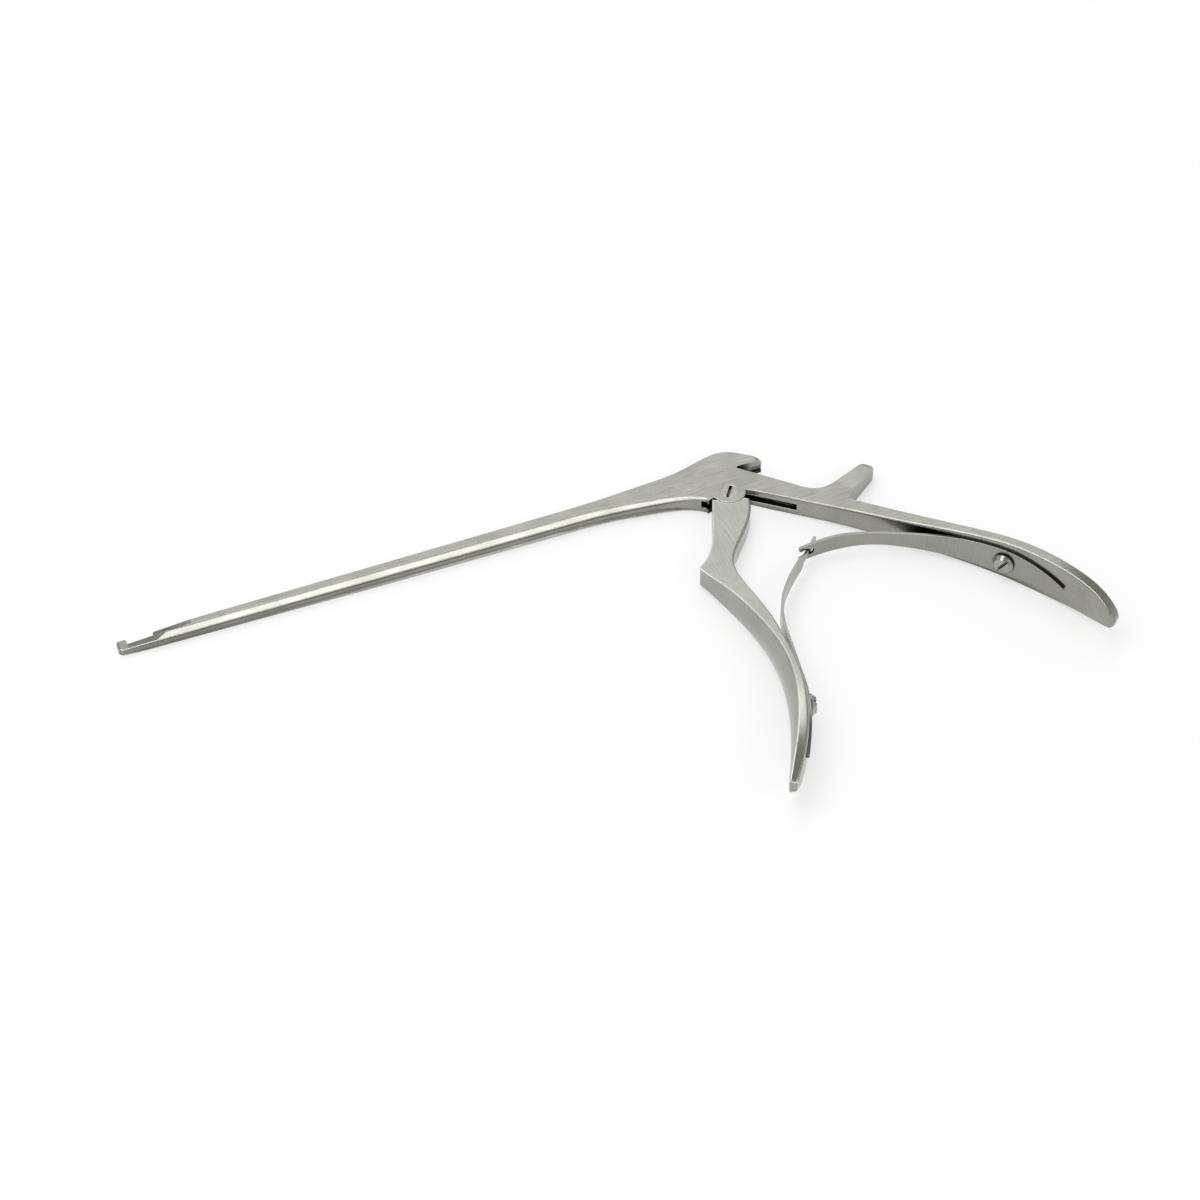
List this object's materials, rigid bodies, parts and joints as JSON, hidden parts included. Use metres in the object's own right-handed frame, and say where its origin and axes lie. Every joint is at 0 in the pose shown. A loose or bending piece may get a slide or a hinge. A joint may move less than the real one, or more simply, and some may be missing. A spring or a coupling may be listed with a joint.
{
  "type": "bone rongeur",
  "caption": "Long-shaft bone punch: squeezing the sprung front handle slides the upper shaft onto an upturned footplate to bite.",
  "frame": {"origin": "middle of the underside of the instrument lying on its side, jaw open", "axes": "+X back along the shaft from the jaw to the handles, +Y from the grips up to the shaft, +Z out of the side"},
  "size_m": [0.2612, 0.1248, 0.0142],
  "materials": {
    "satin_steel": "satin",
    "spring_steel": "satin",
    "screw_steel": "turned"
  },
  "bodies": {
    "frame": {"frame": "satin_steel", "pivot_screw": "screw_steel", "rear_leaf_spring": "spring_steel", "rear_spring_screw": "screw_steel"},
    "front_handle": {"front_handle": "satin_steel", "front_leaf_spring": "spring_steel", "front_spring_screw": "screw_steel"},
    "slide": {"slide": "satin_steel"}
  },
  "joints": [
    {"name": "squeeze", "type": "hinge", "parent": "frame", "child": "front_handle", "pos_m": [0.04983, 0.04585, 0.0071], "axis": [0, 0, 1], "range_deg": [0, 32], "stiffness_Nm_per_rad": 0.8, "springref_deg": -17.19, "deforming": ["front_leaf_spring", "rear_leaf_spring"]},
    {"name": "slide_stroke", "type": "slide", "parent": "frame", "child": "slide", "axis": [-1, 0, 0], "range_m": [0, 0.0074]}
  ],
  "couplings": [
    {"joint": "slide_stroke", "follows": "squeeze", "m_per_rad": 0.013214}
  ]
}
